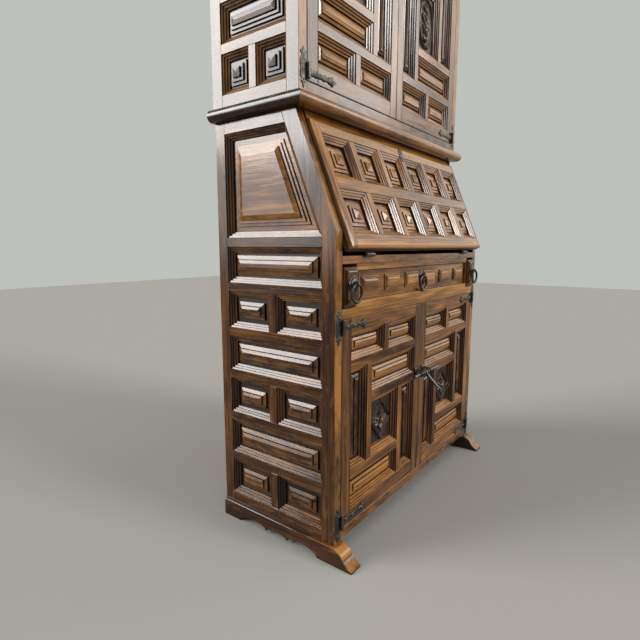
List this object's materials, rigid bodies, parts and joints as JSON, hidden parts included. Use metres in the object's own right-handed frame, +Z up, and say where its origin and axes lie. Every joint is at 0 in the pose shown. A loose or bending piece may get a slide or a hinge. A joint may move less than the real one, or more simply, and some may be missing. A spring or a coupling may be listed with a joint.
{
  "type": "writing desk",
  "caption": "Tall two-part writing desk with sled feet, panelled doors, a drawer between pull-out supports, a slanted fall front and an upper cabinet, with forged iron fittings.",
  "frame": {"origin": "middle of the footprint's box on the floor", "axes": "+Z up, +Y to the back, +X to the right as seen from the front"},
  "size_m": [0.954, 0.4796, 1.798],
  "materials": {
    "stained_wood": "stained walnut-brown hardwood, satin varnish, darker in the recesses",
    "interior_wood": "plain oiled inner wood",
    "wrought_iron": "blackened wrought iron with worn edges"
  },
  "bodies": {
    "carcass": {"foot_left": "stained_wood", "foot_right": "stained_wood", "side_left_frame": "stained_wood", "side_left_panels": "stained_wood", "side_right_frame": "stained_wood", "side_right_panels": "stained_wood", "bottom_board": "stained_wood", "cupboard_shelf": "interior_wood", "desk_bed": "interior_wood", "base_back": "interior_wood", "dust_board": "interior_wood", "front_frame": "stained_wood", "loper_guide_left": "interior_wood", "loper_guide_right": "interior_wood", "pigeonhole_rack": "interior_wood", "slant_top_rail": "stained_wood", "waist_board": "stained_wood", "upper_side_left_frame": "stained_wood", "upper_side_left_panels": "stained_wood", "upper_side_right_frame": "stained_wood", "upper_side_right_panels": "stained_wood", "upper_floor": "stained_wood", "upper_shelf": "interior_wood", "upper_ceiling": "stained_wood", "upper_back": "interior_wood", "cornice": "stained_wood"},
    "fall": {"fall_frame": "stained_wood", "fall_panels": "stained_wood", "fall_hinge_left": "wrought_iron", "fall_hinge_right": "wrought_iron"},
    "drawer": {"drawer_front": "stained_wood", "drawer_box": "interior_wood", "drawer_pull_plate": "wrought_iron"},
    "drawer_ring": {"drawer_pull_ring": "wrought_iron"},
    "loper_left": {"loper_left": "stained_wood", "loper_left_pull_plate": "wrought_iron"},
    "loper_left_ring": {"loper_left_pull_ring": "wrought_iron"},
    "loper_right": {"loper_right": "stained_wood", "loper_right_pull_plate": "wrought_iron"},
    "loper_right_ring": {"loper_right_pull_ring": "wrought_iron"},
    "door_left": {"door_left_frame": "stained_wood", "door_left_panels": "stained_wood", "door_left_hinge_bottom": "wrought_iron", "door_left_hinge_top": "wrought_iron", "latch_keeper": "wrought_iron"},
    "door_right": {"door_right_frame": "stained_wood", "door_right_panels": "stained_wood", "door_right_hinge_bottom": "wrought_iron", "door_right_hinge_top": "wrought_iron", "latch_plate": "wrought_iron"},
    "upper_door_left": {"upper_door_left_frame": "stained_wood", "upper_door_left_panels": "stained_wood", "upper_door_left_hinge_bottom": "wrought_iron", "upper_door_left_hinge_top": "wrought_iron"},
    "upper_door_right": {"upper_door_right_frame": "stained_wood", "upper_door_right_panels": "stained_wood", "upper_door_right_hinge_bottom": "wrought_iron", "upper_door_right_hinge_top": "wrought_iron"},
    "latch": {"latch_bolt": "wrought_iron"}
  },
  "joints": [
    {"name": "fall_hinge", "type": "hinge", "parent": "carcass", "child": "fall", "pos_m": [0, -0.15756, 0.7625], "axis": [1, 0, 0], "range_deg": [0, 112.6]},
    {"name": "drawer_slide", "type": "slide", "parent": "carcass", "child": "drawer", "axis": [0, -1, 0], "range_m": [0, 0.25]},
    {"name": "drawer_ring_swing", "type": "hinge", "parent": "drawer", "child": "drawer_ring", "pos_m": [0, -0.15536, 0.695], "axis": [-1, 0, 0], "range_deg": [0, 95]},
    {"name": "loper_left_slide", "type": "slide", "parent": "carcass", "child": "loper_left", "axis": [0, -1, 0], "range_m": [0, 0.22]},
    {"name": "loper_left_ring_swing", "type": "hinge", "parent": "loper_left", "child": "loper_left_ring", "pos_m": [-0.394, -0.17236, 0.695], "axis": [-1, 0, 0], "range_deg": [0, 95]},
    {"name": "loper_right_slide", "type": "slide", "parent": "carcass", "child": "loper_right", "axis": [0, -1, 0], "range_m": [0, 0.22]},
    {"name": "loper_right_ring_swing", "type": "hinge", "parent": "loper_right", "child": "loper_right_ring", "pos_m": [0.394, -0.17236, 0.695], "axis": [-1, 0, 0], "range_deg": [0, 95]},
    {"name": "door_left_hinge", "type": "hinge", "parent": "carcass", "child": "door_left", "pos_m": [-0.42425, -0.15606, 0.0815], "axis": [0, 0, -1], "range_deg": [0, 105]},
    {"name": "door_right_hinge", "type": "hinge", "parent": "carcass", "child": "door_right", "pos_m": [0.42425, -0.15606, 0.0815], "axis": [0, 0, 1], "range_deg": [0, 105]},
    {"name": "upper_door_left_hinge", "type": "hinge", "parent": "carcass", "child": "upper_door_left", "pos_m": [-0.42425, -0.05376, 1.1565], "axis": [0, 0, -1], "range_deg": [0, 105]},
    {"name": "upper_door_right_hinge", "type": "hinge", "parent": "carcass", "child": "upper_door_right", "pos_m": [0.42425, -0.05376, 1.1565], "axis": [0, 0, 1], "range_deg": [0, 105]},
    {"name": "latch_turn", "type": "hinge", "parent": "door_right", "child": "latch", "pos_m": [0, -0.17106, 0.399], "axis": [-1, 0, 0], "range_deg": [0, 100]}
  ]
}
